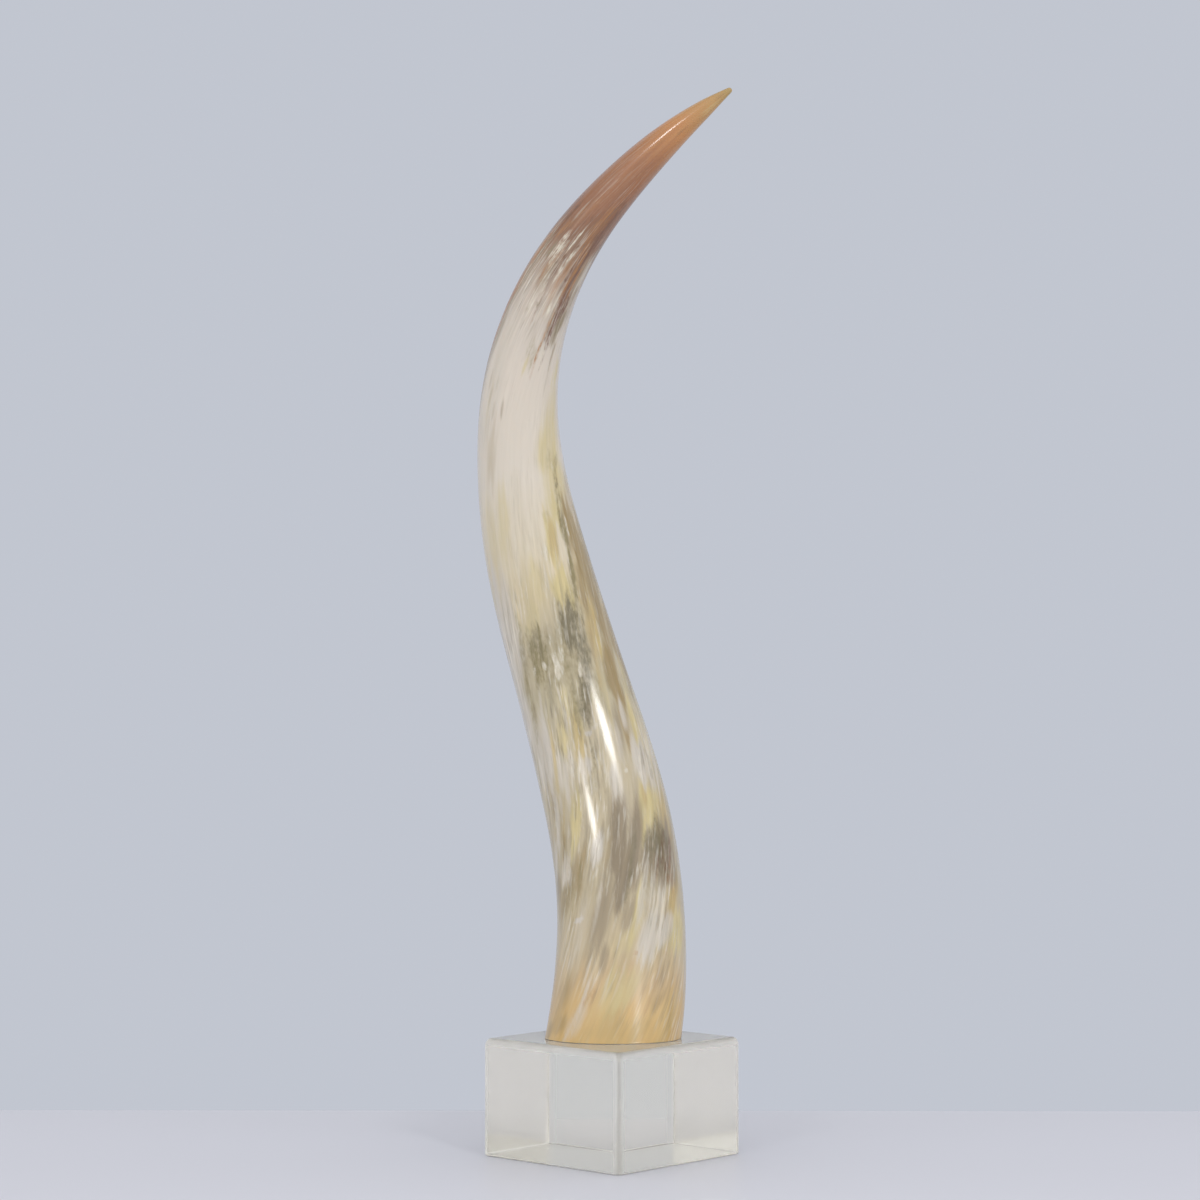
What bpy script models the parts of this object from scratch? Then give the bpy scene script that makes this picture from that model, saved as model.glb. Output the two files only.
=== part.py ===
# A polished steer horn standing on a clear acrylic block.
#
# Metres, +Z up. The origin is the centre of the block's bottom face, and the block's
# sides run along X and Y. The horn has a frame of its own, turned about Z: there, X is
# the side that its tip bends to, and Y is behind it.

import math

import bmesh
import bpy
from mathutils import Vector

# Driving dimensions of the block.
BLOCK_SIDE = 0.134
BLOCK_HEIGHT = 0.085
CORNER_RADIUS = 0.006           # upright edges
TOP_EDGE_RADIUS = 0.0055
BOTTOM_EDGE_RADIUS = 0.0012
CORNER_STEPS = 6                # flats along a quarter of a round
SEAT_GAP = 0.0003               # between the block's top and the horn's foot

# Driving dimensions of the horn.
SWEEP_TURN = 42.0               # degrees from the block's X to the side the tip bends to
FOOT_SIDE = 0.0008              # the foot's centre from the block's, sideways
FOOT_BACK = -0.005              # and backwards
HORN_LENGTH = 0.783             # along its middle line
TIP_RADIUS = 0.0017
LEVEL_LENGTH = 0.100            # rings turn from level to square with the horn over this
RING_SIDES = 36
RING_STEP = 0.013
TIP_RINGS = 4
WALK_STEP = 0.001               # stride with which the middle line is followed

# Looks of the two materials: colours are linear, and edges blunter than SMOOTH_ANGLE are
# shaded smooth.
HORN_COLOUR = (0.62, 0.46, 0.27)
HORN_ROUGHNESS = 0.2
ACRYLIC_COLOUR = (0.97, 0.97, 0.94)
ACRYLIC_ROUGHNESS = 0.02
ACRYLIC_IOR = 1.49
SMOOTH_ANGLE = 40.0

# The way the middle line leans, in degrees from upright, at distances from the foot:
# (distance, sideways lean, backwards lean).
LEANS = [
    (0.000, 10.0, 25.0),
    (0.095, -2.5, 23.5),
    (0.187, -13.8, 14.5),
    (0.278, -16.8, 2.5),
    (0.368, -13.6, -2.0),
    (0.459, -3.0, -6.0),
    (0.550, 18.5, -10.0),
    (0.640, 39.0, -16.0),
    (0.710, 48.5, -24.0),
    (0.783, 57.0, -23.0),
]

# The oval section at distances from the foot: (distance, width, depth over width).
SECTIONS = [
    (0.000, 0.0995, 0.74),
    (0.095, 0.0945, 0.76),
    (0.187, 0.0917, 0.79),
    (0.278, 0.0847, 0.82),
    (0.368, 0.0776, 0.85),
    (0.459, 0.0630, 0.88),
    (0.550, 0.0496, 0.91),
    (0.640, 0.0363, 0.93),
    (0.710, 0.0256, 0.95),
    (0.755, 0.0143, 0.95),
    (0.783, 0.0036, 0.95),
]


def smooth_value(stations, distance, column):
    # A cubic through the stations' values, with each slope taken from its neighbours.
    last = len(stations) - 1
    index = 0
    while index < last - 1 and distance > stations[index + 1][0]:
        index += 1

    def slope(i):
        before, after = max(i - 1, 0), min(i + 1, last)
        rise = stations[after][column] - stations[before][column]
        return rise / (stations[after][0] - stations[before][0])

    start, end = stations[index][0], stations[index + 1][0]
    span = end - start
    t = min(max((distance - start) / span, 0.0), 1.0)
    low, high = stations[index][column], stations[index + 1][column]
    return (
        low * (2 * t ** 3 - 3 * t ** 2 + 1)
        + high * (3 * t ** 2 - 2 * t ** 3)
        + slope(index) * span * (t ** 3 - 2 * t ** 2 + t)
        + slope(index + 1) * span * (t ** 3 - t ** 2)
    )


def heading(distance):
    # The direction in which the middle line runs at a distance from the foot.
    side = math.tan(math.radians(smooth_value(LEANS, distance, 1)))
    back = math.tan(math.radians(smooth_value(LEANS, distance, 2)))
    return Vector((side, back, 1.0)).normalized()


def middle_points(distances):
    # Points of the middle line, in the horn's frame, found by following its heading.
    points = []
    place = Vector((FOOT_SIDE, FOOT_BACK, 0.0))
    walked = 0.0
    for distance in distances:
        while walked < distance:
            stride = min(WALK_STEP, distance - walked)
            place = place + heading(walked + stride / 2) * stride
            walked += stride
        points.append(place.copy())
    return points


def ring_distances():
    # Even steps up to the tip's round, then closer ones around it.
    straight = HORN_LENGTH - TIP_RADIUS
    count = round(straight / RING_STEP)
    distances = [straight * i / count for i in range(count + 1)]
    for i in range(1, TIP_RINGS):
        angle = math.radians(90) * i / TIP_RINGS
        distances.append(straight + TIP_RADIUS * math.sin(angle))
    return distances


def ring_around(middle, distance):
    # The oval ring of the horn's surface at a distance from the foot.
    level = min(distance / LEVEL_LENGTH, 1.0)
    share = level * level * (3 - 2 * level)
    normal = Vector((0, 0, 1)).lerp(heading(distance), share).normalized()
    across = Vector((1, 0, 0))
    across = (across - normal * across.dot(normal)).normalized()
    through = normal.cross(across)

    width = smooth_value(SECTIONS, distance, 1)
    depth = width * smooth_value(SECTIONS, distance, 2)
    into_tip = (distance - (HORN_LENGTH - TIP_RADIUS)) / TIP_RADIUS
    if into_tip > 0:
        roundness = math.sqrt(1 - into_tip ** 2)
        width *= roundness
        depth *= roundness

    ring = []
    for i in range(RING_SIDES):
        angle = math.tau * i / RING_SIDES
        ring.append(
            middle
            + across * (width / 2 * math.cos(angle))
            + through * (depth / 2 * math.sin(angle))
        )
    return ring


def join_rings(bm, rings):
    # A wall of quads through the rings, each a list of vertices.
    for lower, upper in zip(rings, rings[1:]):
        count = len(lower)
        for i in range(count):
            j = (i + 1) % count
            bm.faces.new((lower[i], lower[j], upper[j], upper[i]))


def add_object(name, bm, material):
    mesh = bpy.data.meshes.new(name)
    bm.to_mesh(mesh)
    bm.free()
    mesh.materials.append(material)
    mesh.shade_smooth()
    mesh.set_sharp_from_angle(angle=math.radians(SMOOTH_ANGLE))
    piece = bpy.data.objects.new(name, mesh)
    bpy.context.scene.collection.objects.link(piece)
    return piece


def new_material(name, colour, roughness):
    material = bpy.data.materials.new(name)
    material.use_nodes = True
    shader = material.node_tree.nodes["Principled BSDF"]
    shader.inputs["Base Color"].default_value = (*colour, 1.0)
    shader.inputs["Roughness"].default_value = roughness
    shader.inputs["Metallic"].default_value = 0.0
    return material, shader


def build_horn():
    distances = ring_distances()
    middles = middle_points(distances + [HORN_LENGTH])
    bm = bmesh.new()
    rings = []
    for middle, distance in zip(middles, distances):
        rings.append([bm.verts.new(point) for point in ring_around(middle, distance)])
    join_rings(bm, rings)

    # The foot is cut flat and level, and the tip closes in a point on its round.
    bm.faces.new(list(reversed(rings[0])))
    tip = bm.verts.new(middles[-1])
    last = rings[-1]
    for i in range(RING_SIDES):
        bm.faces.new((last[i], last[(i + 1) % RING_SIDES], tip))

    material, _ = new_material("polished_horn", HORN_COLOUR, HORN_ROUGHNESS)
    horn = add_object("horn", bm, material)
    horn.location = (0.0, 0.0, BLOCK_HEIGHT + SEAT_GAP)
    horn.rotation_euler = (0.0, 0.0, math.radians(SWEEP_TURN))
    return horn


def block_outline(inset):
    # A square with round corners, drawn in from the block's sides by inset.
    half = BLOCK_SIDE / 2 - inset
    radius = CORNER_RADIUS - inset
    points = []
    for quarter in range(4):
        start = quarter * math.pi / 2
        x = (half - radius) * (1 if quarter in (0, 3) else -1)
        y = (half - radius) * (1 if quarter in (0, 1) else -1)
        for i in range(CORNER_STEPS + 1):
            angle = start + math.pi / 2 * i / CORNER_STEPS
            points.append((x + radius * math.cos(angle), y + radius * math.sin(angle)))
    return points


def block_levels():
    # (height, inset) from the bottom face up around both rounded rims.
    levels = []
    quarter = [math.pi / 2 * i / CORNER_STEPS for i in range(CORNER_STEPS + 1)]
    for angle in quarter:
        rise = BOTTOM_EDGE_RADIUS * (1 - math.cos(angle))
        levels.append((rise, BOTTOM_EDGE_RADIUS * (1 - math.sin(angle))))
    for angle in quarter:
        drop = TOP_EDGE_RADIUS * (1 - math.sin(angle))
        levels.append((BLOCK_HEIGHT - drop, TOP_EDGE_RADIUS * (1 - math.cos(angle))))
    return levels


def build_block():
    bm = bmesh.new()
    rings = []
    for height, inset in block_levels():
        rings.append([bm.verts.new((x, y, height)) for x, y in block_outline(inset)])
    join_rings(bm, rings)
    bm.faces.new(list(reversed(rings[0])))
    bm.faces.new(rings[-1])
    material, shader = new_material("clear_acrylic", ACRYLIC_COLOUR, ACRYLIC_ROUGHNESS)
    shader.inputs["Transmission Weight"].default_value = 1.0
    shader.inputs["IOR"].default_value = ACRYLIC_IOR
    return add_object("acrylic_block", bm, material)


def main():
    for old in list(bpy.data.objects):
        bpy.data.objects.remove(old, do_unlink=True)
    build_block()
    build_horn()


main()
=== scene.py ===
import math

import bmesh
import bpy
import numpy as np
from mathutils import Matrix, Vector


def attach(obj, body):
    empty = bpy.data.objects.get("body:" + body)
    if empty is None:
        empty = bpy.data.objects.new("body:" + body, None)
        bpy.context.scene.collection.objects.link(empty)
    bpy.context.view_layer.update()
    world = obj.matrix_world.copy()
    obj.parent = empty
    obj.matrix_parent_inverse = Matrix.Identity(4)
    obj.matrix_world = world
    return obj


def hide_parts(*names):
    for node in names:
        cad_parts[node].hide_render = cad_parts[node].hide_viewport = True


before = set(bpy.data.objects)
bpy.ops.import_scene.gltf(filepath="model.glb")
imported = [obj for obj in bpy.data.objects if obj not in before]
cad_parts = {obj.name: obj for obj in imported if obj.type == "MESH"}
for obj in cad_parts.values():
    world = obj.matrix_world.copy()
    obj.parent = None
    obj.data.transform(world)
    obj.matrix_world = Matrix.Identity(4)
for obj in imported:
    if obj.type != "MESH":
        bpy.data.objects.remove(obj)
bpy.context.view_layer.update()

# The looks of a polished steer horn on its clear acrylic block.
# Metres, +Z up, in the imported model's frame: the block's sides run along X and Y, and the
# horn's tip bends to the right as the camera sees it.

view = {
    "turn": 42.0,               # degrees from the block's X to the picture's right
    "distance": 2.403,          # from the block's middle to the camera
    "sideStep": 0.00803,        # the camera stands this far right of the middle
    "height": 0.385,
    "lens": 99.0,               # mm, on a 36 mm sensor
    "sensor": 36.0,
    "yaw": 0.40,                # degrees left of straight ahead
    "pitch": 0.43,              # degrees above level
}

turn = math.radians(view["turn"])
rightWay = Vector((math.cos(turn), math.sin(turn), 0.0))
awayWay = Vector((-math.sin(turn), math.cos(turn), 0.0))


def placeInView(right, away, up):
    # A place as the camera sees it, from the middle of the block's bottom face.
    return rightWay * right + awayWay * away + Vector((0.0, 0.0, up))


def linearColour(hexText):
    # An sRGB hex colour as the linear values that shaders take.
    channels = []
    for i in (0, 2, 4):
        value = int(hexText[i:i + 2], 16) / 255
        channels.append(value / 12.92 if value <= 0.04045 else ((value + 0.055) / 1.055) ** 2.4)
    return (*channels, 1.0)


def addNode(tree, kind, settings=None, inputs=None):
    # One node with its settings, its fixed inputs and its links, by socket name or number.
    # A node given as an input links its first output.
    node = tree.nodes.new(kind)
    for name, value in (settings or {}).items():
        setattr(node, name, value)
    for name, value in (inputs or {}).items():
        if isinstance(value, bpy.types.Node):
            value = value.outputs[0]
        if isinstance(value, bpy.types.NodeSocket):
            tree.links.new(value, node.inputs[name])
        else:
            node.inputs[name].default_value = value
    return node


def setRamp(node, stops):
    # The ramp's stops, each a place from 0 to 1 and an sRGB hex colour.
    ramp = node.color_ramp
    for i, (place, hexText) in enumerate(stops):
        stop = ramp.elements[i] if i < 2 else ramp.elements.new(place)
        stop.position = place
        stop.color = linearColour(hexText)


def newMaterial(name):
    material = bpy.data.materials.new(name)
    material.use_nodes = True
    tree = material.node_tree
    return material, tree, tree.nodes["Principled BSDF"]


def smoothValue(stations, distance, column):
    # A cubic through the stations' values, with each slope taken from its neighbours.
    last = len(stations) - 1
    index = 0
    while index < last - 1 and distance > stations[index + 1][0]:
        index += 1

    def slope(i):
        before, after = max(i - 1, 0), min(i + 1, last)
        rise = stations[after][column] - stations[before][column]
        return rise / (stations[after][0] - stations[before][0])

    span = stations[index + 1][0] - stations[index][0]
    t = min(max((distance - stations[index][0]) / span, 0.0), 1.0)
    low, high = stations[index][column], stations[index + 1][column]
    return (low * (2 * t ** 3 - 3 * t ** 2 + 1) + high * (3 * t ** 2 - 2 * t ** 3)
            + slope(index) * span * (t ** 3 - 2 * t ** 2 + t)
            + slope(index + 1) * span * (t ** 3 - t ** 2))


camera = bpy.data.objects.new("camera", bpy.data.cameras.new("camera"))
camera.data.sensor_width = view["sensor"]
camera.data.lens = view["lens"]
camera.location = placeInView(view["sideStep"], -view["distance"], view["height"])
camera.rotation_euler = (
    math.radians(90 + view["pitch"]), 0.0, math.radians(view["turn"] + view["yaw"]))
bpy.context.scene.collection.objects.link(camera)
bpy.context.scene.camera = camera
bpy.context.scene.view_settings.view_transform = "Standard"

room = {
    # (place from straight ahead of the horn, 0, to straight behind it, 1; colour)
    "ringColours": [(0.0, "e6e6e6"), (0.42, "eaebec"), (0.475, "a9a8a3"), (0.525, "a9a8a3"),
                    (0.59, "e4e5e8"), (0.92, "acb0b9")],
    "strength": 1.3,
    # (side, height, disc's diameter, watts) of the left and the right lamp
    "lamps": {"lampLeft": (-1.62, 1.70, 0.52, 13.0), "lampRight": (1.60, 1.74, 0.72, 25.0)},
    "lampAway": -2.9,           # both stand in front of the block
    "lampAim": 0.40,            # height that both lamps point at
    "tableWidth": 3.0,
    "tableFront": 0.95,         # from the block's middle to the front edge
    "tableBack": 0.22,          # and to the back edge
    "tableThick": 0.03,
    "tableRound": 0.003,        # radius of its edges
    "tableRoundSteps": 4,
    "tableSmoothAngle": 30.0,   # degrees: blunter edges are shaded smooth
    "underGap": 0.0003,         # air under the block
    "tableColour": "d3d3db",
    "tableRoughness": 0.45,
}


def buildWorld():
    # The room's light, as a ring of greys from in front of the horn round to behind it.
    world = bpy.data.worlds.new("paleGreyRoom")
    world.use_nodes = True
    tree = world.node_tree
    direction = addNode(tree, "ShaderNodeTexCoord").outputs["Generated"]
    away = addNode(tree, "ShaderNodeVectorMath", {"operation": "DOT_PRODUCT"},
                   {0: direction, 1: awayWay}).outputs["Value"]
    place = addNode(tree, "ShaderNodeMapRange", inputs={"Value": away, "From Min": -1.0})
    colour = addNode(tree, "ShaderNodeValToRGB", inputs={0: place})
    setRamp(colour, room["ringColours"])
    background = tree.nodes["Background"]
    tree.links.new(colour.outputs[0], background.inputs["Color"])
    background.inputs["Strength"].default_value = room["strength"]
    bpy.context.scene.world = world


def buildLamps():
    for name, (side, up, size, power) in room["lamps"].items():
        light = bpy.data.lights.new(name, "AREA")
        light.shape = "DISK"
        light.size = size
        light.energy = power
        lamp = bpy.data.objects.new(name, light)
        lamp.location = placeInView(side, room["lampAway"], up)
        aim = Vector((0.0, 0.0, room["lampAim"])) - lamp.location
        lamp.rotation_euler = aim.to_track_quat("-Z", "Y").to_euler()
        bpy.context.scene.collection.objects.link(lamp)


def buildTable():
    depth = room["tableFront"] + room["tableBack"]
    bm = bmesh.new()
    bmesh.ops.create_cube(bm, size=1.0)
    bmesh.ops.scale(bm, verts=bm.verts, vec=(room["tableWidth"], depth, room["tableThick"]))
    bmesh.ops.translate(bm, verts=bm.verts, vec=(
        0.0, (room["tableBack"] - room["tableFront"]) / 2,
        -room["tableThick"] / 2 - room["underGap"]))
    bmesh.ops.rotate(bm, verts=bm.verts, cent=(0, 0, 0), matrix=Matrix.Rotation(turn, 3, "Z"))
    bmesh.ops.bevel(bm, geom=bm.edges[:], offset=room["tableRound"],
                    segments=room["tableRoundSteps"], profile=0.5, affect="EDGES")
    mesh = bpy.data.meshes.new("tableTop")
    bm.to_mesh(mesh)
    bm.free()
    mesh.shade_smooth()
    mesh.set_sharp_from_angle(angle=math.radians(room["tableSmoothAngle"]))

    # White lacquer, sprayed: satin, so that it mirrors the block only as a soft brightness.
    material, tree, shader = newMaterial("whiteLacqueredTable")
    shader.inputs["Base Color"].default_value = linearColour(room["tableColour"])
    shader.inputs["Roughness"].default_value = room["tableRoughness"]
    mesh.materials.append(material)
    table = bpy.data.objects.new("tableTop", mesh)
    bpy.context.scene.collection.objects.link(table)


buildWorld()
buildLamps()
buildTable()
print("camera, lamps and table are in place")


block = {
    "side": 0.134,
    "height": 0.085,
    "cornerRadius": 0.006,      # upright edges
    "topRadius": 0.0055,
    "bottomRadius": 0.0012,
    "steps": 14,                # flats along a quarter of a round
    "angleSlack": 0.001,        # radians within which a surface counts as level or upright
    "colour": "fbf9f2",
    "transmission": 0.84,       # the rest is a faint milkiness
    "ior": 1.49,                # cast acrylic
    "faceRoughness": 0.0,       # the four sides and the top are buffed
    "rimRoughness": 0.28,       # the rounded edges are not
    "underRoughness": 0.3,      # and neither is the underside
    "absorbColour": "fff3d0",   # a long way through it looks faintly warm
    "absorbDensity": 0.5,       # per metre
}


def blockRing(inset):
    # Points of a square with round corners, the way outwards at each, and whether it is
    # inside a corner's round.
    half = block["side"] / 2 - block["cornerRadius"]
    radius = block["cornerRadius"] - inset
    points = []
    for quarter in range(4):
        x = half if quarter in (0, 3) else -half
        y = half if quarter in (0, 1) else -half
        for i in range(block["steps"] + 1):
            angle = math.pi / 2 * (quarter + i / block["steps"])
            out = Vector((math.cos(angle), math.sin(angle), 0.0))
            points.append((Vector((x, y, 0.0)) + out * radius, out, 0 < i < block["steps"]))
    return points


def blockLevels():
    # (height, inset, how far the surface has turned up from straight down) up the block.
    levels = []
    quarter = [math.pi / 2 * i / block["steps"] for i in range(block["steps"] + 1)]
    low, top = block["bottomRadius"], block["topRadius"]
    for angle in quarter:
        levels.append((low * (1 - math.cos(angle)), low * (1 - math.sin(angle)), angle))
    for angle in quarter:
        levels.append((block["height"] - top * (1 - math.sin(angle)),
                       top * (1 - math.cos(angle)), math.pi / 2 + angle))
    return levels


def acrylicMaterial():
    # Cast acrylic, machine polished: clear as glass but lighter in its reflections, with a
    # faint warmth that only shows where the eye looks through a lot of it.
    # Its rims and its underside, which no buffing wheel reached, blur what they show.
    material, tree, shader = newMaterial("castAcrylicPolished")
    shader.inputs["Base Color"].default_value = linearColour(block["colour"])
    shader.inputs["IOR"].default_value = block["ior"]
    shader.inputs["Transmission Weight"].default_value = block["transmission"]
    matt = addNode(tree, "ShaderNodeAttribute", {"attribute_name": "matt"}).outputs["Fac"]
    tree.links.new(matt, shader.inputs["Roughness"])
    absorb = addNode(tree, "ShaderNodeVolumeAbsorption", inputs={
        "Color": linearColour(block["absorbColour"]), "Density": block["absorbDensity"]})
    tree.links.new(absorb.outputs["Volume"], tree.nodes["Material Output"].inputs["Volume"])
    return material


def buildBlock():
    # Rings of points up the block, each with its true normal and how matt it is.
    bm = bmesh.new()
    normals, matts = [], []
    rings = []
    for height, inset, turned in blockLevels():
        ring = []
        upright = abs(turned - math.pi / 2) < block["angleSlack"]
        onTop = math.pi - turned < block["angleSlack"]
        under = turned < block["angleSlack"]
        for point, out, inCorner in blockRing(inset):
            ring.append(bm.verts.new(point + Vector((0.0, 0.0, height))))
            normals.append(out * math.sin(turned) - Vector((0.0, 0.0, math.cos(turned))))
            if under:
                matts.append(block["underRoughness"])
            elif onTop or (upright and not inCorner):
                matts.append(block["faceRoughness"])
            else:
                matts.append(block["rimRoughness"])
        rings.append(ring)
    for lower, upper in zip(rings, rings[1:]):
        for i in range(len(lower)):
            j = (i + 1) % len(lower)
            bm.faces.new((lower[i], lower[j], upper[j], upper[i]))
    bm.faces.new(list(reversed(rings[0])))
    bm.faces.new(rings[-1])
    mesh = bpy.data.meshes.new("clearBlock")
    bm.to_mesh(mesh)
    bm.free()
    mesh.attributes.new("matt", "FLOAT", "POINT").data.foreach_set("value", matts)
    mesh.shade_smooth()
    mesh.normals_split_custom_set_from_vertices(normals)    # keeps the flats truly flat
    mesh.materials.append(acrylicMaterial())
    piece = bpy.data.objects.new("clearBlock", mesh)
    bpy.context.scene.collection.objects.link(piece)
    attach(piece, "root")
    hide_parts("acrylic_block")


buildBlock()
print("the clear block is built")


horn = {
    "footHeight": 0.0853,       # the block's top and the seat's 0.3 mm of air
    "footSide": 0.0008,         # the foot's middle from the block's, to the right
    "footAway": -0.005,
    "length": 0.783,
    "tipRadius": 0.0017,
    "footRound": 0.0003,        # the foot's edge is only just broken
    "levelLength": 0.100,       # rings turn from level to square over this
    "ringStep": 0.0018,
    "roundRings": 9,            # closer rings around the tip and the foot's edge
    "tipShort": 0.00001,        # how far before the tip's end the last ring stands
    "sides": 200,
    "walkStep": 0.0005,
    "waver": 0.006,             # how much of its radius the surface wanders by
    "waverLength": 0.045,
    "waverDetail": 1.0,
    "seed": 4.0,
    "fibreRadius": 0.030,       # radius at which the streaks' widths are true
    "markSeed": 11,
    "markPower": 2.2,           # 2 gives marks with round ends, more gives fuller ones
    "markFade": 1.1,            # how softly a mark fades out, as a share of its half size
    "leastWidth": 5.0,          # degrees: narrower marks are made this wide and fainter
    "raggedLane": 2.5,          # degrees of a lane of fibres in which a mark ends together
    "raggedEnd": 0.26,          # how far the lanes slip, as a share of the mark's length
    "raggedMost": 12.0,         # and at most, in mm
    "swayLength": 14.0,         # mm along which a mark's sides wander
    "swayPast": 50.0,           # mm past the tip up to which their wandering is drawn
    "sway": 0.30,               # how far they wander, as a share of the mark's width
    "frontLane": -90.0,         # degrees: where the tube's own round has the horn's front
    "backLanes": (100.0, 260.0),    # degrees from the front, where the back's marks lie
    "backSize": (0.5, 1.5),     # the back's marks against the sizes in hornBack
    "backStrength": (0.6, 1.1),     # and against its strengths
    # Noises drawn out along the fibres: (width, length, detail, how far it is moved). A real
    # fibre is about 0.2 mm wide, too fine to show here, so single ones are drawn 1.5 mm wide.
    "noises": {
        "fine": (0.0019, 0.034, 4.0, 0.0),
        "broad": (0.0060, 0.060, 2.0, 0.0),
        "speck": (0.0017, 0.0050, 3.0, 0.0),
        "patch": (0.0200, 0.060, 1.0, 0.0),
        "paleFibre": (0.0015, 0.021, 3.0, 7.3),
        "darkFibre": (0.0015, 0.021, 3.0, 3.1),
    },
    "noiseMean": 0.5,
    "speckShare": 0.55,         # of specks against fine streaks, in the mottled noise
    "groundShift": 0.050,       # how far the broad noise slips the ground's colours
    "patchNoise": (0.35, 0.65),     # while the patch noise goes from one to the other,
    "patchGrain": (0.25, 1.2),      # the share in which fibres show does too
    "fibreNoise": (0.52, 0.68),     # where a single fibre begins to show, and shows fully
    # (colour, how much of it shows) of single fibres.
    "fibres": {"paleFibre": ("ccc6ba", 0.50), "darkFibre": ("7f735c", 0.40)},
    "depths": {"fine": 0.85, "broad": 0.32},    # how far these noises lighten and darken
    "reliefStrength": 0.05,
    "reliefDepth": 0.0001,
    "roughness": 0.32,
    "ior": 1.54,                # keratin
    "underGloss": 0.1,          # what shines is the polish, not what lies under it
    "coatRoughness": 0.15,
    "glow": 0.10,               # light that spreads under the surface
    "glowRadius": (1.0, 0.62, 0.36),    # how far its red, green and blue reach
    "glowDepth": 0.004,
}

# (distance from the foot, lean to the right, lean away), in metres and degrees.
hornLeans = [
    (0.000, 10.0, 25.0), (0.095, -2.5, 23.5), (0.187, -13.8, 14.5), (0.278, -16.8, 2.5),
    (0.368, -13.6, -2.0), (0.459, -3.0, -6.0), (0.550, 18.5, -10.0), (0.640, 39.0, -16.0),
    (0.710, 48.5, -24.0), (0.783, 57.0, -23.0),
]

# (distance, width, depth over width) of the oval section.
hornSections = [
    (0.000, 0.0995, 0.74), (0.095, 0.0945, 0.76), (0.187, 0.0917, 0.79), (0.278, 0.0847, 0.82),
    (0.368, 0.0776, 0.85), (0.459, 0.0630, 0.88), (0.550, 0.0496, 0.91), (0.640, 0.0363, 0.93),
    (0.710, 0.0256, 0.95), (0.755, 0.0143, 0.95), (0.783, 0.0036, 0.95),
]

# (distance, degrees) by which the fibres have wound round the horn.
hornTwist = [
    (0.000, 0.0), (0.060, 24.0), (0.120, 41.0), (0.180, 57.0), (0.270, 75.0), (0.340, 89.0),
    (0.450, 105.0), (0.550, 129.0), (0.620, 139.0), (0.700, 145.0), (0.783, 150.0),
]

# Ground colour (mm from the foot, colour), before any marks.
hornGround = [
    (0, "c2a066"), (20, "c1a26e"), (40, "b59d78"), (62, "b6a688"), (110, "aa9d82"),
    (170, "ac9f85"), (225, "b8ac92"), (262, "aea388"), (310, "b0a48a"), (345, "bfb193"),
    (385, "c6bba6"), (440, "c7beb1"), (515, "c5bbaf"), (550, "bdb3a8"), (582, "ad9f92"),
    (606, "8f7764"), (628, "7a563f"), (652, "865a3f"), (700, "946443"), (735, "ad7848"),
    (768, "a98452"), (783, "9c8452"),
]

# How strongly single fibres show (mm from the foot, share).
hornGrain = [
    (0, 0.5), (60, 0.8), (140, 1.0), (320, 1.0), (355, 0.6), (400, 0.25), (530, 0.28),
    (570, 0.95), (615, 0.95), (645, 0.45), (700, 0.25), (740, 0.1), (783, 0.05),
]

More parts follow.
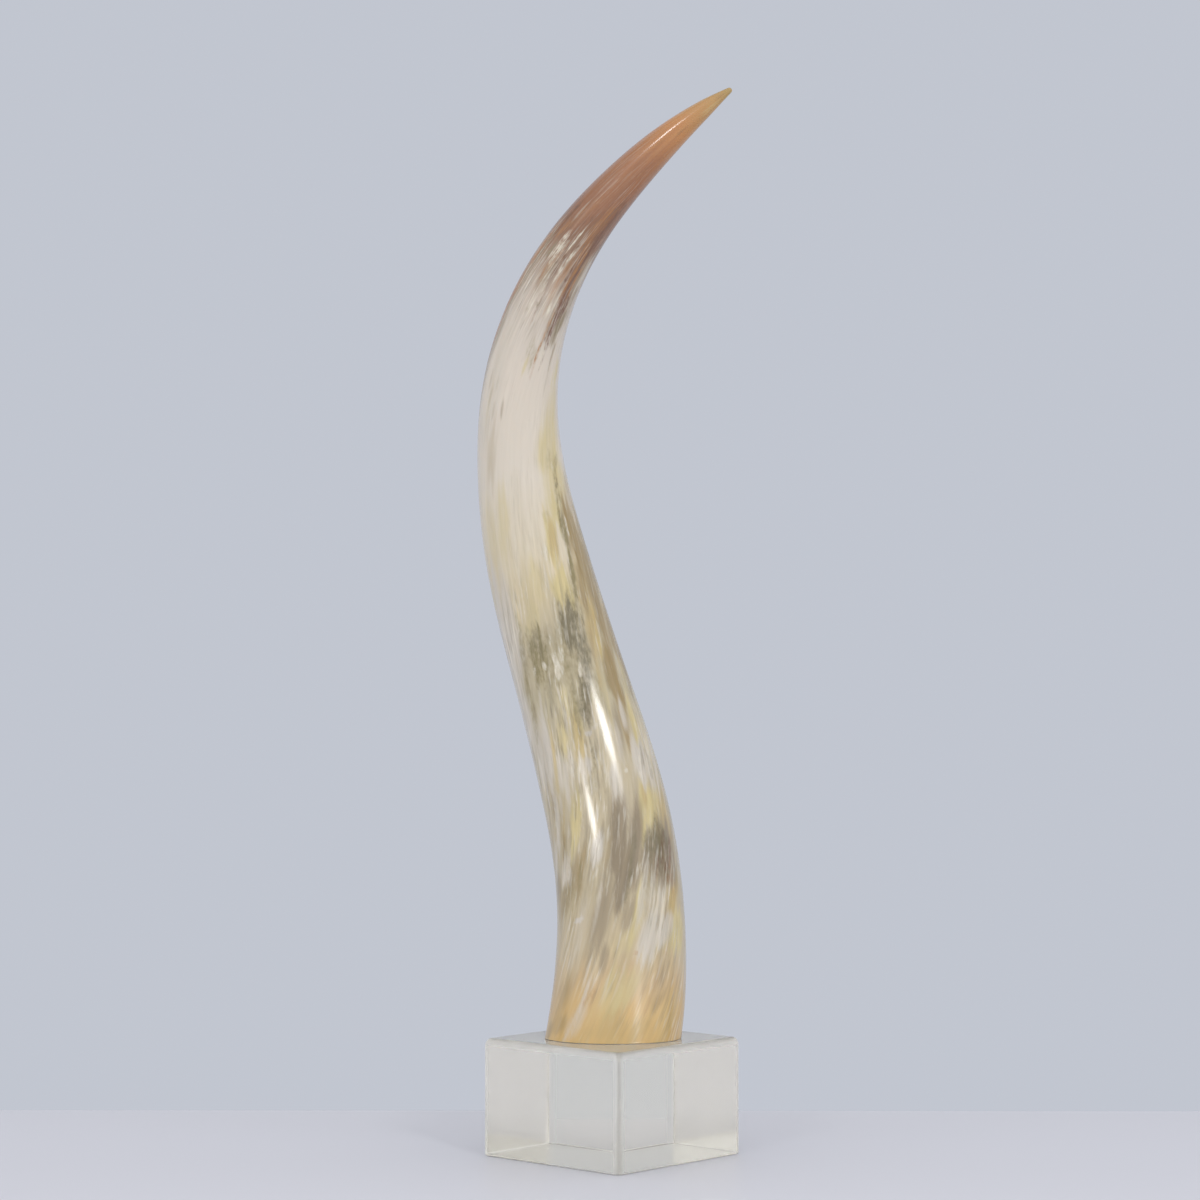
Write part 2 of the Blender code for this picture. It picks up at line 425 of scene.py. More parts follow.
# What has stained the horn, and a little painted sheen (the pale glow just below the lamps'
# reflections), in the order in which the colours lie over each other. Each mark is (mm from
# the foot, degrees round from the front to the right, length in mm, width in degrees,
# strength). The noise breaks the marks up, more with a higher "break". "edge" says at what
# strength a colour begins to show and at what strength it covers.
hornPigments = {
    "straw": {
        "colour": "bcad7f", "noise": "broad", "break": 1.2, "edge": (0.05, 0.85),
        "marks": [
            (35, -4, 34, 32, 0.6), (90, 17, 62, 9, 0.95), (160, 31, 50, 7, 0.8),
            (77, 56, 30, 30, 0.85), (86, 38, 40, 34, 0.4), (62, -2, 20, 24, 0.35),
            (165, 45, 44, 24, 0.7), (158, -37, 54, 9, 0.75), (172, -28, 44, 6, 0.6),
            (225, -31, 54, 6, 0.65), (242, -22, 50, 8, 0.6), (266, -11, 20, 8, 0.7),
            (232, 54, 56, 9, 0.85), (270, 66, 60, 12, 0.45), (325, -20, 34, 18, 0.5),
            (352, -8, 40, 32, 0.4), (347, 21, 34, 22, 0.95), (384, 22, 50, 15, 0.7),
            (408, 37, 34, 16, 0.7), (447, 48, 100, 44, 0.6), (488, 58, 60, 26, 0.5),
            (520, 66, 26, 12, 0.6), (405, -32, 60, 20, 0.45), (390, -52, 60, 24, 0.35),
            (520, 3, 16, 6, 0.5), (296, 43, 22, 6, 0.8), (484, -50, 40, 5, 0.4),
            (263, 31, 50, 6, 0.5), (238, -9, 50, 14, 0.5), (290, -26, 30, 12, 0.35),
            (763, 15, 20, 40, 0.3),
        ],
    },
    "amber": {
        "colour": "ac9664", "noise": "broad", "break": 1.1, "edge": (0.05, 0.85),
        "marks": [
            (8, 0, 26, 70, 0.45), (16, 50, 46, 30, 0.4), (98, 53, 32, 18, 0.95),
            (153, 61, 56, 22, 0.6), (160, -50, 52, 6, 0.5), (230, -10, 44, 14, 0.5),
            (232, -38, 54, 6, 0.4), (316, 42, 62, 18, 0.65), (384, 24, 40, 12, 0.5),
            (285, 33, 44, 6, 0.5), (116, 25, 30, 8, 0.4), (348, 42, 40, 10, 0.5),
            (205, -44, 40, 4, 0.4), (174, 38, 24, 6, 0.5),
        ],
    },
    "tan": {
        "colour": "927f5a", "noise": "broad", "break": 1.0, "edge": (0.05, 0.85),
        "marks": [
            (10, -62, 18, 34, 0.45), (30, -54, 44, 16, 0.4), (30, 38, 16, 14, 0.4),
            (236, 42, 46, 12, 0.7), (276, 49, 66, 18, 0.95), (322, 60, 60, 15, 0.95),
            (360, 62, 84, 26, 0.85), (352, 46, 50, 16, 0.7), (384, 55, 56, 28, 0.8),
            (305, 80, 90, 26, 0.85), (375, 80, 80, 22, 0.75), (416, 70, 50, 22, 0.4),
            (455, -38, 50, 17, 0.35), (120, 8, 32, 10, 0.85), (140, -5, 30, 8, 0.5),
            (300, 34, 30, 6, 0.5), (112, -53, 42, 40, 0.55), (120, -36, 50, 9, 0.7),
            (140, -56, 30, 4, 0.6), (195, -56, 40, 5, 0.6), (395, 62, 20, 20, 0.5),
        ],
    },
    "taupe": {
        "colour": "83755f", "noise": "broad", "break": 1.3, "edge": (0.05, 0.85),
        "marks": [
            (88, -15, 78, 20, 0.5), (112, 4, 42, 13, 0.95), (134, 18, 76, 15, 0.75),
            (148, 3, 66, 16, 0.9), (126, 4, 30, 22, 0.8), (126, 27, 30, 16, 0.6),
            (84, 6, 26, 14, 0.45), (145, 46, 34, 18, 0.45), (560, 12, 44, 40, 0.2),
            (566, 34, 40, 26, 0.45), (588, -14, 30, 30, 0.35), (594, 50, 44, 30, 0.5),
            (545, -35, 40, 26, 0.15), (120, 58, 30, 26, 0.7), (132, 45, 50, 38, 0.9),
            (226, 30, 50, 9, 0.5), (262, -49, 18, 4, 0.5), (540, -70, 120, 20, 0.55),
            (558, 44, 26, 18, 0.75), (546, 42, 22, 12, 0.6), (487, -38, 16, 4, 0.45),
            (487, -24, 15, 4, 0.45), (510, 42, 22, 3, 0.45), (534, 48, 30, 3, 0.65),
            (594, -66, 46, 22, 0.8), (606, -37, 15, 8, 0.6), (575, -58, 44, 6, 0.5),
            (506, -36, 12, 5, 0.4), (506, -53, 14, 5, 0.4), (498, -46, 18, 6, 0.4),
            (118, -74, 26, 14, 0.5), (207, -60, 30, 8, 0.5), (55, -14, 20, 10, 0.5),
            (600, 60, 60, 20, 0.5),
        ],
    },
    "pearl": {
        "colour": "bdb5a9", "noise": "broad", "break": 1.6, "edge": (0.10, 0.85),
        "marks": [
            (14, -36, 30, 18, 0.5), (98, 20, 60, 7, 0.6), (90, 34, 44, 30, 0.55),
            (77, 42, 26, 22, 0.75), (126, -58, 30, 16, 0.6), (202, -36, 40, 14, 0.6),
            (232, -58, 70, 26, 0.65), (300, -66, 150, 40, 0.85), (325, -50, 70, 22, 0.6),
            (240, 42, 30, 8, 0.5), (500, -46, 100, 30, 0.5), (510, -34, 70, 20, 0.35),
            (206, -14, 26, 9, 0.5), (100, 3, 20, 5, 0.3), (12, -40, 34, 7, 0.7),
            (26, -33, 36, 4, 0.6), (12, 66, 24, 3, 0.7), (70, 27, 40, 18, 0.8),
            (72, -42, 60, 20, 0.35), (82, -40, 5, 12, 0.8), (122, -50, 18, 7, 0.6),
            (140, -72, 36, 8, 0.75), (166, -57, 54, 7, 0.8), (182, -47, 26, 4, 0.6),
            # (188, 13, ...) is painted sheen: the soft pale glow just below the right lamp's
            # reflection. (138, -16, ...) is partly a pale stain and partly painted sheen below
            # the left lamp's reflection.
            (138, -16, 28, 13, 0.7), (188, 13, 34, 13, 0.6), (199, 48, 38, 28, 0.75),
            (226, -48, 72, 12, 0.8), (256, -41, 70, 4, 0.7), (212, -25, 44, 3, 0.7),
            (252, -16, 32, 3, 0.7), (216, 27, 40, 8, 0.5), (300, -66, 90, 18, 0.45),
            (208, -8, 14, 7, 0.7), (278, 16, 30, 5, 0.5), (200, 68, 50, 9, 0.5),
            (640, -38, 20, 8, 0.4), (604, 60, 36, 18, 0.6), (232, 2, 5, 8, 0.8),
            (236, 9, 5, 7, 0.8), (185, -35, 50, 3, 0.6), (218, 61, 26, 5, 0.5),
            (555, -50, 70, 3, 0.4), (95, -20, 60, 3, 0.5), (196, -34, 40, 4, 0.6),
            (545, 60, 50, 10, 0.4),
        ],
    },
    "olive": {
        "colour": "7f7450", "noise": "mottled", "break": 2.8, "edge": (0.12, 1.10),
        "marks": [
            (104, -52, 34, 26, 0.45), (248, -55, 50, 8, 0.5), (278, -49, 44, 10, 0.55),
            (310, -42, 56, 10, 0.6), (332, -38, 30, 6, 0.5), (304, -25, 40, 28, 0.9),
            (300, -9, 32, 16, 0.6), (262, -2, 56, 8, 0.7), (303, 3, 44, 20, 0.6),
            (318, 8, 44, 14, 0.65), (266, 25, 34, 12, 0.5), (296, -20, 56, 44, 0.55),
            (312, 16, 60, 34, 0.6), (290, 3, 40, 9, 0.6), (322, 32, 30, 9, 0.55),
            (392, 42, 34, 10, 1.0), (356, 37, 46, 8, 0.95), (531, 11, 24, 24, 0.45),
            (422, 47, 60, 9, 0.6), (272, 38, 40, 8, 0.4), (120, -37, 34, 7, 0.5),
            (446, 42, 20, 12, 0.4), (342, 34, 20, 6, 0.7), (290, -34, 40, 5, 0.5),
            (404, 24, 10, 10, 0.4),
        ],
    },
    "slate": {
        "colour": "6a6147", "noise": "mottled", "break": 2.6, "edge": (0.15, 1.15),
        "marks": [
            (320, 18, 36, 22, 1.0), (302, 21, 40, 18, 0.9), (284, 20, 36, 14, 0.8),
            (312, -24, 26, 20, 0.5), (316, -10, 20, 12, 0.4), (256, 7, 46, 14, 0.95),
            (218, 0, 26, 6, 0.65), (190, -9, 26, 13, 0.5), (110, 9, 32, 6, 0.6),
            (142, 40, 32, 24, 0.75), (124, 48, 30, 22, 0.6), (134, 45, 24, 22, 1.0),
            (132, 15, 56, 7, 0.7), (196, 57, 26, 6, 0.55), (212, 52, 14, 6, 0.4),
            (427, 49, 9, 8, 0.6), (446, 57, 12, 9, 0.55), (414, 50, 8, 6, 0.55),
            (576, 60, 32, 8, 0.5), (567, -6, 6, 5, 0.7), (568, -10, 3, 4, 0.6),
            (562, -21, 4, 5, 0.4), (403, 43, 6, 10, 0.6), (150, 20, 40, 6, 0.45),
        ],
    },
    "umber": {
        "colour": "6c4d3d", "noise": "mottled", "break": 3.4, "edge": (0.25, 1.05),
        "marks": [
            (118, 50, 20, 14, 0.45), (126, 47, 34, 26, 0.6), (560, 32, 50, 9, 0.8),
            (572, 40, 50, 14, 0.75), (606, 33, 60, 18, 0.85), (600, -2, 40, 14, 0.6),
            (592, -74, 110, 26, 0.85), (566, -80, 130, 20, 0.7), (610, -52, 50, 20, 0.45),
            (632, -14, 30, 34, 0.5), (640, -34, 40, 22, 0.35), (606, -70, 40, 26, 0.6),
            (588, 38, 40, 20, 0.45), (600, 30, 30, 24, 0.4), (638, 66, 90, 22, 0.5),
            (585, 33, 62, 6, 0.95), (540, 33, 22, 4, 0.8), (526, 28, 22, 2.5, 0.7),
            (601, 22, 34, 5, 0.85), (580, 47, 32, 10, 0.8), (617, 36, 46, 16, 0.85),
            (640, 44, 60, 24, 0.8), (648, 30, 56, 20, 0.75), (672, 62, 60, 18, 0.6),
            (560, -6, 38, 2.4, 0.8), (597, -7, 26, 3.5, 1.0), (607, -4, 8, 10, 0.8),
            (586, -26, 22, 2.5, 0.7), (602, -13, 5, 18, 0.7), (617, -9, 20, 4, 0.85),
            (627, -17, 16, 9, 0.7), (606, 15, 26, 6, 0.7), (643, -5, 16, 14, 0.6),
            (642, -58, 22, 14, 0.75), (697, -18, 8, 14, 0.4), (695, -50, 16, 24, 0.35),
            (773, -20, 10, 34, 0.5), (536, 20, 16, 3, 0.5), (622, 8, 16, 6, 0.6),
            (630, 16, 26, 8, 0.6), (566, 30, 18, 5, 0.6), (604, -58, 14, 20, 0.4),
        ],
    },
    "rust": {
        "colour": "9a6d42", "noise": "mottled", "break": 2.6, "edge": (0.20, 1.10),
        "marks": [
            (20, -40, 14, 3, 0.45), (30, -28, 18, 4, 0.5), (30, -23, 20, 4, 0.5),
            (42, 33, 28, 2.5, 0.6), (28, 27, 26, 3, 0.5), (34, 12, 20, 3, 0.35),
            (56, -21, 12, 3, 0.5), (59, 13, 3, 3, 0.7), (60, 42, 5, 3, 0.6),
            (116, 52, 22, 16, 0.4), (104, 56, 16, 10, 0.4), (114, 51, 10, 8, 0.5),
            (110, 57, 26, 10, 0.3), (570, -76, 120, 24, 0.9), (520, -82, 120, 14, 0.6),
            (536, 19, 26, 3.5, 0.85), (518, 15, 14, 3, 0.7), (575, 31, 34, 3, 0.6),
            (554, -6, 6, 3, 0.7), (592, -26, 14, 7, 0.6), (588, -45, 22, 6, 0.35),
            (586, 8, 40, 16, 0.3), (598, -67, 10, 8, 0.7), (640, -26, 40, 26, 0.5),
            (627, -45, 20, 12, 0.6), (652, 21, 20, 5, 0.8), (692, 13, 12, 8, 0.6),
            (735, 4, 14, 11, 0.9), (719, -19, 9, 8, 0.75), (744, 14, 20, 24, 0.4),
            (575, 4, 14, 8, 0.3), (620, 26, 30, 6, 0.6), (606, -7, 8, 3, 0.5),
            (592, 12, 60, 16, 0.6), (604, 31, 60, 8, 0.8), (600, 45, 40, 8, 0.7),
            (560, 25, 40, 6, 0.7), (596, -20, 40, 10, 0.5), (640, 20, 50, 30, 0.6),
        ],
    },
    "chalk": {
        "colour": "c8c1b1", "noise": "mottled", "break": 3.4, "edge": (0.30, 1.05),
        "marks": [
            (112, -19, 30, 2, 0.6), (140, -71, 30, 4, 0.5), (168, -56, 44, 4, 0.55),
            (188, -6, 20, 10, 0.5), (192, 40, 7, 5, 0.7), (196, 25, 6, 4, 0.7),
            (203, 44, 9, 4, 0.6), (204, -25, 30, 2, 0.6), (247, -16, 20, 2, 0.6),
            (300, -9, 36, 2.4, 0.95), (295, -3, 30, 3, 0.95), (305, -13, 26, 2, 0.75),
            (311, 3.5, 42, 2.2, 0.9), (332, 6.5, 28, 2.6, 0.9), (290, -8, 22, 5, 0.8),
            (292, -22, 8, 6, 0.75), (291, -35, 10, 4, 0.7), (283, -38, 18, 2.4, 0.6),
            (310, -6, 20, 3, 0.6), (284, 12.5, 14, 4, 0.8), (378, 11, 18, 7, 0.75),
            (387, 6, 40, 6, 0.5), (370, -22, 70, 5, 0.5), (340, -26, 34, 4, 0.55),
            (355, 5, 30, 4, 0.6), (395, -4, 50, 16, 0.4), (347, -2, 20, 3, 0.6),
            (334, -16, 20, 3, 0.5), (393, 48, 24, 3, 0.9), (382, 46, 12, 2, 0.7),
            (441, 48, 8, 8, 0.6), (456, 62, 9, 4, 0.6), (422, 54, 10, 5, 0.5),
            (565, -17, 30, 16, 0.5), (566, 16, 16, 8, 0.6), (545, 27, 32, 4, 0.6),
            (586, 25, 40, 3, 0.7), (531, 26, 26, 4, 0.6), (536, 42, 26, 6, 0.5),
            (612, -24, 30, 20, 0.7), (620, -30, 14, 6, 0.7), (626, -3, 30, 6, 0.7),
            (611, 8, 16, 10, 0.7), (600, 3, 20, 14, 0.6), (585, -16, 40, 26, 0.5),
            (572, 10, 40, 30, 0.45), (624, -15, 14, 3, 0.6), (604, -41, 20, 10, 0.5),
            (612, 21, 16, 4, 0.5), (660, -15, 24, 16, 0.35), (651, 2, 18, 5, 0.4),
            (671, -8, 12, 10, 0.35), (604, 42, 20, 4, 0.4), (562, 26, 20, 3, 0.5),
            (12, 68, 24, 2, 0.5), (320, -8, 16, 2, 0.6), (352, -18, 24, 3, 0.5),
            (210, -34, 20, 3, 0.5), (158, -23, 16, 2, 0.4),
        ],
    },
}

# Marks strewn over the back, which nobody has seen: (pigment, how many, lowest, highest,
# length, width, strength).
hornBack = [
    ("amber", 6, 0, 60, 45, 18, 0.55), ("straw", 16, 40, 480, 55, 10, 0.7),
    ("tan", 12, 60, 400, 80, 12, 0.7), ("olive", 9, 200, 400, 45, 9, 0.75),
    ("slate", 7, 110, 330, 34, 11, 0.8), ("pearl", 16, 60, 290, 50, 6, 0.7),
    ("taupe", 10, 60, 590, 50, 10, 0.6), ("chalk", 16, 180, 420, 28, 3, 0.7),
    ("umber", 20, 530, 670, 34, 7, 0.8), ("chalk", 9, 585, 635, 22, 7, 0.8),
    ("rust", 9, 560, 750, 22, 8, 0.6),
]


def hornHeading(distance):
    # The direction in which the middle line runs at a distance from the foot.
    side = math.tan(math.radians(smoothValue(hornLeans, distance, 1)))
    away = math.tan(math.radians(smoothValue(hornLeans, distance, 2)))
    return Vector((side, away, 1.0)).normalized()


def ringDistances():
    # Even rings up the horn, with closer ones round the foot's edge and the tip.
    quarter = [math.pi / 2 * i / horn["roundRings"] for i in range(horn["roundRings"] + 1)]
    low = horn["footRound"]
    high = horn["length"] - horn["tipRadius"]
    count = round((high - low) / horn["ringStep"])
    distances = [low * (1 - math.cos(angle)) for angle in quarter]
    distances += [low + (high - low) * i / count for i in range(1, count + 1)]
    distances += [high + horn["tipRadius"] * math.sin(angle) for angle in quarter[1:-1]]
    distances.append(horn["length"] - horn["tipShort"])
    return distances


def hornPath():
    # The middle line as a string of points that know their ring's half axes and its twist.
    points, halfWidths, halfDepths, alongs, twists = [], [], [], [], []
    place = Vector((horn["footSide"], horn["footAway"], horn["footHeight"]))
    walked = 0.0
    for distance in ringDistances():
        while walked < distance:
            stride = min(horn["walkStep"], distance - walked)
            place = place + hornHeading(walked + stride / 2) * stride
            walked += stride
        level = min(distance / horn["levelLength"], 1.0)
        share = level * level * (3 - 2 * level)
        normal = Vector((0, 0, 1)).lerp(hornHeading(distance), share).normalized()
        across = Vector((1, 0, 0))
        across = (across - normal * across.dot(normal)).normalized()
        through = normal.cross(across)

        halfWidth = smoothValue(hornSections, distance, 1) / 2
        halfDepth = halfWidth * smoothValue(hornSections, distance, 2)
        intoTip = (distance - horn["length"]) / horn["tipRadius"] + 1
        if intoTip > 0:
            halfWidth *= math.sqrt(1 - intoTip ** 2)
            halfDepth *= math.sqrt(1 - intoTip ** 2)
        fromEdge = 1 - distance / horn["footRound"]
        if fromEdge > 0:
            inset = horn["footRound"] * (1 - math.sqrt(1 - fromEdge ** 2))
            halfWidth -= inset
            halfDepth -= inset
        points.append(place.copy())
        halfWidths.append(across * halfWidth)
        halfDepths.append(through * halfDepth)
        alongs.append(distance)
        twists.append(math.radians(smoothValue(hornTwist, distance, 1)))

    mesh = bpy.data.meshes.new("hornPath")
    spin = Matrix.Rotation(turn, 3, "Z")
    mesh.from_pydata([spin @ p for p in points], [(i, i + 1) for i in range(len(points) - 1)], [])
    for name, kind, values in (
        ("halfWidth", "FLOAT_VECTOR", [spin @ v for v in halfWidths]),
        ("halfDepth", "FLOAT_VECTOR", [spin @ v for v in halfDepths]),
        ("along", "FLOAT", alongs),
        ("twist", "FLOAT", twists),
    ):
        key = "vector" if kind == "FLOAT_VECTOR" else "value"
        mesh.attributes.new(name, kind, "POINT").data.foreach_set(key, np.array(values).ravel())
    return mesh


def hornTree(material):
    # Winds a fine tube onto the path: ring by ring, from the path's own half axes.
    tree = bpy.data.node_groups.new("hornOnPath", "GeometryNodeTree")
    tree.interface.new_socket("Path", in_out="INPUT", socket_type="NodeSocketGeometry")
    for name, kind in (("Sides", "Int"), ("Waver", "Float"), ("Waver Length", "Float"),
                       ("Fibre Radius", "Float"), ("Seed", "Float")):
        tree.interface.new_socket(name, in_out="INPUT", socket_type="NodeSocket" + kind)
    tree.interface.new_socket("Horn", in_out="OUTPUT", socket_type="NodeSocketGeometry")
    given = addNode(tree, "NodeGroupInput").outputs
    add, scale = {"operation": "ADD"}, {"operation": "SCALE"}
    subtract, multiply = {"operation": "SUBTRACT"}, {"operation": "MULTIPLY"}

    # The tube is 1 m high, so a point's height counts its ring's number on the path.
    count = addNode(tree, "GeometryNodeAttributeDomainSize",
                    inputs={0: given["Path"]}).outputs["Point Count"]
    lastRing = addNode(tree, "ShaderNodeMath", subtract, {0: count, 1: 1.0})
    tube = addNode(tree, "GeometryNodeMeshCylinder", {"fill_type": "TRIANGLE_FAN"}, {
        "Vertices": given["Sides"], "Side Segments": lastRing, "Radius": 1.0, "Depth": 1.0})
    position = addNode(tree, "GeometryNodeInputPosition")
    spot = addNode(tree, "ShaderNodeSeparateXYZ", inputs={0: position}).outputs
    half = addNode(tree, "ShaderNodeMath", multiply, {0: lastRing, 1: 0.5})
    ring = addNode(tree, "ShaderNodeMath", {"operation": "MULTIPLY_ADD"}, {
        0: spot[2], 1: lastRing, 2: half})
    ringNumber = addNode(tree, "FunctionNodeFloatToInt", {"rounding_mode": "ROUND"}, {0: ring})

    path = {}
    for name, kind in (("position", "FLOAT_VECTOR"), ("halfWidth", "FLOAT_VECTOR"),
                       ("halfDepth", "FLOAT_VECTOR"), ("along", "FLOAT"), ("twist", "FLOAT")):
        value = addNode(tree, "GeometryNodeInputNamedAttribute", {"data_type": kind},
                        {"Name": name}).outputs["Attribute"]
        path[name] = addNode(tree, "GeometryNodeSampleIndex", {"data_type": kind}, {
            "Geometry": given["Path"], "Value": value, "Index": ringNumber})

    # The way out from the middle line, drawn in by a slow noise: a hand-sanded surface.
    across = addNode(tree, "ShaderNodeVectorMath", scale, {
        0: path["halfWidth"], "Scale": spot[0]})
    through = addNode(tree, "ShaderNodeVectorMath", scale, {
        0: path["halfDepth"], "Scale": spot[1]})
    out = addNode(tree, "ShaderNodeVectorMath", add, {0: across, 1: through})
    smoothPlace = addNode(tree, "ShaderNodeVectorMath", add, {0: path["position"], 1: out})
    perWave = addNode(tree, "ShaderNodeMath", {"operation": "DIVIDE"}, {
        0: 1.0, 1: given["Waver Length"]})
    noise = addNode(tree, "ShaderNodeTexNoise", {"noise_dimensions": "4D"}, {
        "Vector": smoothPlace, "W": given["Seed"], "Scale": perWave,
        "Detail": horn["waverDetail"]}).outputs["Fac"]
    drawnIn = addNode(tree, "ShaderNodeMath", multiply, {0: noise, 1: given["Waver"]})
    share = addNode(tree, "ShaderNodeMath", subtract, {0: 1.0, 1: drawnIn})
    wavered = addNode(tree, "ShaderNodeVectorMath", scale, {0: out, "Scale": share})
    place = addNode(tree, "ShaderNodeVectorMath", add, {0: path["position"], 1: wavered})

    # Where each point lies on the wound fibres: round them at a constant radius, and along.
    # It is stored first, while the tube still has its own plain positions.
    roundWay = addNode(tree, "ShaderNodeCombineXYZ", inputs={0: spot[0], 1: spot[1]})
    unwound = addNode(tree, "ShaderNodeVectorRotate", {
        "rotation_type": "Z_AXIS", "invert": True}, {"Vector": roundWay, "Angle": path["twist"]})
    atRadius = addNode(tree, "ShaderNodeVectorMath", scale, {
        0: unwound, "Scale": given["Fibre Radius"]})
    alongWay = addNode(tree, "ShaderNodeCombineXYZ", inputs={2: path["along"]})
    fibre = addNode(tree, "ShaderNodeVectorMath", add, {0: atRadius, 1: alongWay})
    stored = addNode(tree, "GeometryNodeStoreNamedAttribute", {"data_type": "FLOAT_VECTOR"}, {
        "Geometry": tube.outputs["Mesh"], "Name": "fibre", "Value": fibre})
    placed = addNode(tree, "GeometryNodeSetPosition", inputs={
        "Geometry": stored, "Position": place})

    smooth = addNode(tree, "GeometryNodeSetShadeSmooth", inputs={0: placed})
    realized = addNode(tree, "GeometryNodeRealizeInstances", inputs={0: smooth})
    finished = addNode(tree, "GeometryNodeSetMaterial", inputs={
        0: realized, "Material": material})
    addNode(tree, "NodeGroupOutput", inputs={0: finished})
    return tree


def paintPigments(mesh):
    # Lays each pigment's marks along the fibres, as a value at every point of the surface.
    fibre = np.empty(len(mesh.vertices) * 3)
    mesh.attributes["fibre"].data.foreach_get("vector", fibre)
    x, y, z = fibre.reshape(-1, 3).T
    along = z * 1000
    lane = np.degrees(np.arctan2(y, x))
    dice = np.random.default_rng(horn["markSeed"])
    lanes = np.arange(-180, 180, horn["raggedLane"])
    marks = [(name, *mark) for name, pigment in hornPigments.items() for mark in pigment["marks"]]
    for name, count, low, high, length, width, strength in hornBack:
        for _ in range(count):
            marks.append((
                name, dice.uniform(low, high), dice.uniform(*horn["backLanes"]),
                length * dice.uniform(*horn["backSize"]),
                width * dice.uniform(*horn["backSize"]),
                strength * dice.uniform(*horn["backStrength"])))
    layers = {name: np.zeros(len(along)) for name in hornPigments}
    for name, distance, seen, length, width, strength in marks:
        middleLane = seen + horn["frontLane"] - smoothValue(hornTwist, distance / 1000, 1)
        aside = (lane - middleLane + 180) % 360 - 180
        slip = np.interp(lane, lanes, dice.uniform(-1, 1, len(lanes)), period=360)
        reach = min(horn["raggedEnd"] * length, horn["raggedMost"])
        knots = np.arange(0, horn["length"] * 1000 + horn["swayPast"], horn["swayLength"])
        sway = np.interp(along, knots, dice.uniform(-1, 1, len(knots))) * horn["sway"]
        shown = max(width, horn["leastWidth"])
        u = np.abs(along - distance + slip * reach) / (length / 2)
        v = np.abs(aside / (shown / 2) + sway)
        power, fade = horn["markPower"], horn["markFade"]
        # 1 in the mark's middle, 0 outside it, and a soft edge between.
        t = np.clip((1 + fade / 2 - (u ** power + v ** power) ** (1 / power)) / fade, 0, 1)
        value = strength * math.sqrt(width / shown) * t * t * (3 - 2 * t)
        layers[name] = np.maximum(layers[name], value)
    layers["grain"] = np.interp(along, *zip(*hornGrain))
    for name, values in layers.items():
        mesh.attributes.new(name, "FLOAT", "POINT").data.foreach_set("value", values)
    print("the horn has", len(marks), "marks in", len(hornPigments), "pigments")


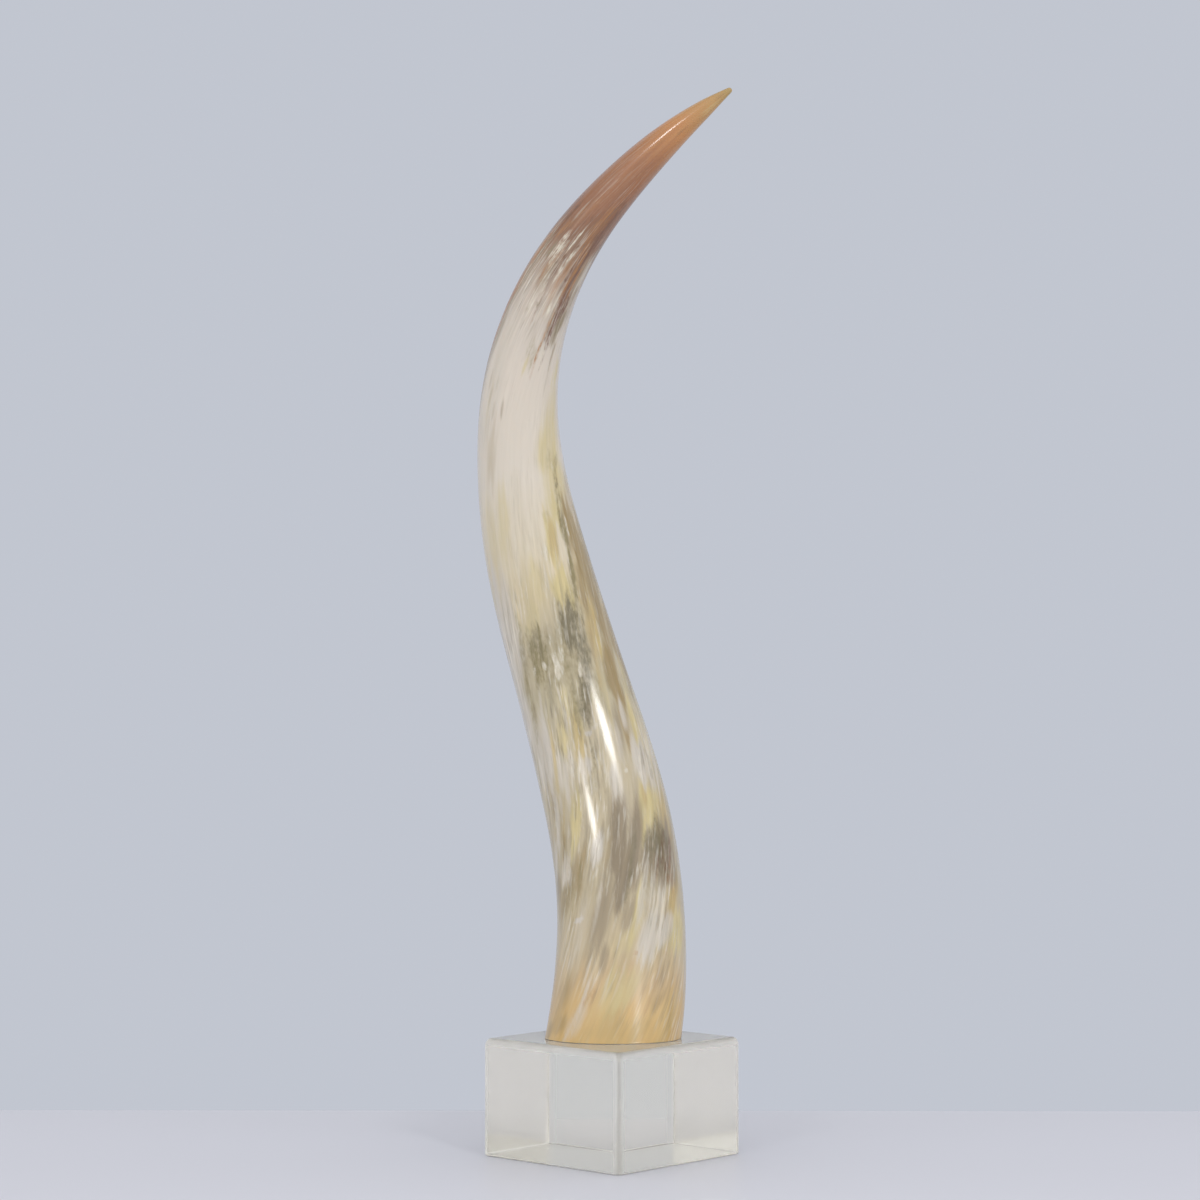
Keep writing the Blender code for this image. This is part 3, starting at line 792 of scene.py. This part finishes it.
def hornMaterial():
    # Steer horn, sanded and buffed: keratin fibres that run with the twist, stained in
    # streaks at different depths, under a wet-looking polish, with a little painted sheen
    # among the pale streaks.
    material, tree, shader = newMaterial("steerHornBuffed")
    fibre = addNode(tree, "ShaderNodeAttribute", {"attribute_name": "fibre"}).outputs["Vector"]
    subtract, multiply = {"operation": "SUBTRACT"}, {"operation": "MULTIPLY"}
    multiplyAdd = {"operation": "MULTIPLY_ADD"}
    smoothStep = {"interpolation_type": "SMOOTHSTEP"}

    # The noises, and how far three of them swing from their mean.
    noises = {}
    for name, (width, length, detail, moved) in horn["noises"].items():
        place = addNode(tree, "ShaderNodeVectorMath", {"operation": "ADD"}, {
            0: fibre, 1: (moved, moved, moved)})
        stretched = addNode(tree, "ShaderNodeVectorMath", multiply, {
            0: place, 1: (1 / width, 1 / width, 1 / length)})
        noises[name] = addNode(tree, "ShaderNodeTexNoise", inputs={
            "Vector": stretched, "Scale": 1.0, "Detail": detail}).outputs["Fac"]
    toSpeck = addNode(tree, "ShaderNodeMath", subtract, {0: noises["speck"], 1: noises["fine"]})
    noises["mottled"] = addNode(tree, "ShaderNodeMath", multiplyAdd, {
        0: toSpeck, 1: horn["speckShare"], 2: noises["fine"]})
    swings = {}
    for name in ("fine", "broad", "mottled"):
        swings[name] = addNode(tree, "ShaderNodeMath", subtract, {
            0: noises[name], 1: horn["noiseMean"]})

    # The ground colour changes along the horn, further in some lanes than in others.
    along = addNode(tree, "ShaderNodeSeparateXYZ", inputs={0: fibre}).outputs[2]
    shifted = addNode(tree, "ShaderNodeMath", multiplyAdd, {
        0: swings["broad"], 1: horn["groundShift"], 2: along})
    upHorn = addNode(tree, "ShaderNodeMath", {"operation": "DIVIDE"}, {
        0: shifted, 1: horn["length"]})
    ground = addNode(tree, "ShaderNodeValToRGB", inputs={0: upHorn})
    setRamp(ground, [(mm / 1000 / horn["length"], colour) for mm, colour in hornGround])
    colour = ground.outputs[0]

    # Each stain, and the painted sheen among the pale marks, lies over the ones before it.
    for name, pigment in hornPigments.items():
        value = addNode(tree, "ShaderNodeAttribute", {"attribute_name": name}).outputs["Fac"]
        factor = addNode(tree, "ShaderNodeMath", multiplyAdd, {
            0: swings[pigment["noise"]], 1: pigment["break"], 2: 1.0})
        broken = addNode(tree, "ShaderNodeMath", multiply, {0: value, 1: factor})
        share = addNode(tree, "ShaderNodeMapRange", smoothStep, {
            "Value": broken, "From Min": pigment["edge"][0], "From Max": pigment["edge"][1]})
        colour = addNode(tree, "ShaderNodeMix", {"data_type": "RGBA"}, {
            0: share, 6: colour, 7: linearColour(pigment["colour"])}).outputs[2]

    # Single fibres are paler, darker or a shade off their neighbours.
    evenGrain = addNode(tree, "ShaderNodeAttribute", {"attribute_name": "grain"}).outputs["Fac"]
    patch = addNode(tree, "ShaderNodeMapRange", smoothStep, {
        "Value": noises["patch"],
        "From Min": horn["patchNoise"][0], "From Max": horn["patchNoise"][1],
        "To Min": horn["patchGrain"][0], "To Max": horn["patchGrain"][1]})
    grain = addNode(tree, "ShaderNodeMath", multiply, {0: evenGrain, 1: patch})
    for name, (hexText, most) in horn["fibres"].items():
        picked = addNode(tree, "ShaderNodeMapRange", smoothStep, {
            "Value": noises[name], "From Min": horn["fibreNoise"][0],
            "From Max": horn["fibreNoise"][1], "To Max": most})
        share = addNode(tree, "ShaderNodeMath", multiply, {0: picked, 1: grain})
        colour = addNode(tree, "ShaderNodeMix", {"data_type": "RGBA"}, {
            0: share, 6: colour, 7: linearColour(hexText)}).outputs[2]
    for name, depth in horn["depths"].items():
        swing = addNode(tree, "ShaderNodeMath", multiply, {0: swings[name], 1: grain})
        shade = addNode(tree, "ShaderNodeMath", multiplyAdd, {0: swing, 1: depth, 2: 1.0})
        tint = addNode(tree, "ShaderNodeCombineColor", inputs={0: shade, 1: shade, 2: shade})
        colour = addNode(tree, "ShaderNodeMix", {"data_type": "RGBA", "blend_type": "MULTIPLY"}, {
            0: 1.0, 6: colour, 7: tint}).outputs[2]
    tree.links.new(colour, shader.inputs["Base Color"])

    # The fibres stand out a hair's breadth, under the polish and in it.
    strength = addNode(tree, "ShaderNodeMath", multiply, {0: grain, 1: horn["reliefStrength"]})
    relief = addNode(tree, "ShaderNodeBump", inputs={
        "Height": noises["fine"], "Strength": strength, "Distance": horn["reliefDepth"]})
    for name in ("Normal", "Coat Normal"):
        tree.links.new(relief.outputs[0], shader.inputs[name])
    for name, value in (
        ("Roughness", horn["roughness"]),
        ("IOR", horn["ior"]),
        ("Specular IOR Level", horn["underGloss"]),
        ("Coat Weight", 1.0),
        ("Coat Roughness", horn["coatRoughness"]),
        ("Coat IOR", horn["ior"]),
        ("Subsurface Weight", horn["glow"]),
        ("Subsurface Radius", horn["glowRadius"]),
        ("Subsurface Scale", horn["glowDepth"]),
    ):
        shader.inputs[name].default_value = value
    return material


def buildHorn():
    # The tree's result becomes a plain mesh, so that the marks can be laid on its points.
    material = hornMaterial()
    holder = bpy.data.objects.new("hornPath", hornPath())
    bpy.context.scene.collection.objects.link(holder)
    modifier = holder.modifiers.new("hornOnPath", "NODES")
    modifier.node_group = hornTree(material)
    sizes = {"Sides": horn["sides"], "Waver": horn["waver"], "Waver Length": horn["waverLength"],
             "Fibre Radius": horn["fibreRadius"], "Seed": horn["seed"]}
    for item in modifier.node_group.interface.items_tree:
        if item.in_out == "INPUT" and item.name in sizes:
            modifier[item.identifier] = sizes[item.name]
    evaluated = holder.evaluated_get(bpy.context.evaluated_depsgraph_get())
    mesh = bpy.data.meshes.new_from_object(evaluated)
    bpy.data.objects.remove(holder)
    mesh.name = "polishedHorn"
    paintPigments(mesh)
    piece = bpy.data.objects.new("polishedHorn", mesh)
    bpy.context.scene.collection.objects.link(piece)
    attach(piece, "root")
    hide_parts("horn")
    print("the horn has", len(mesh.polygons), "faces")


buildHorn()
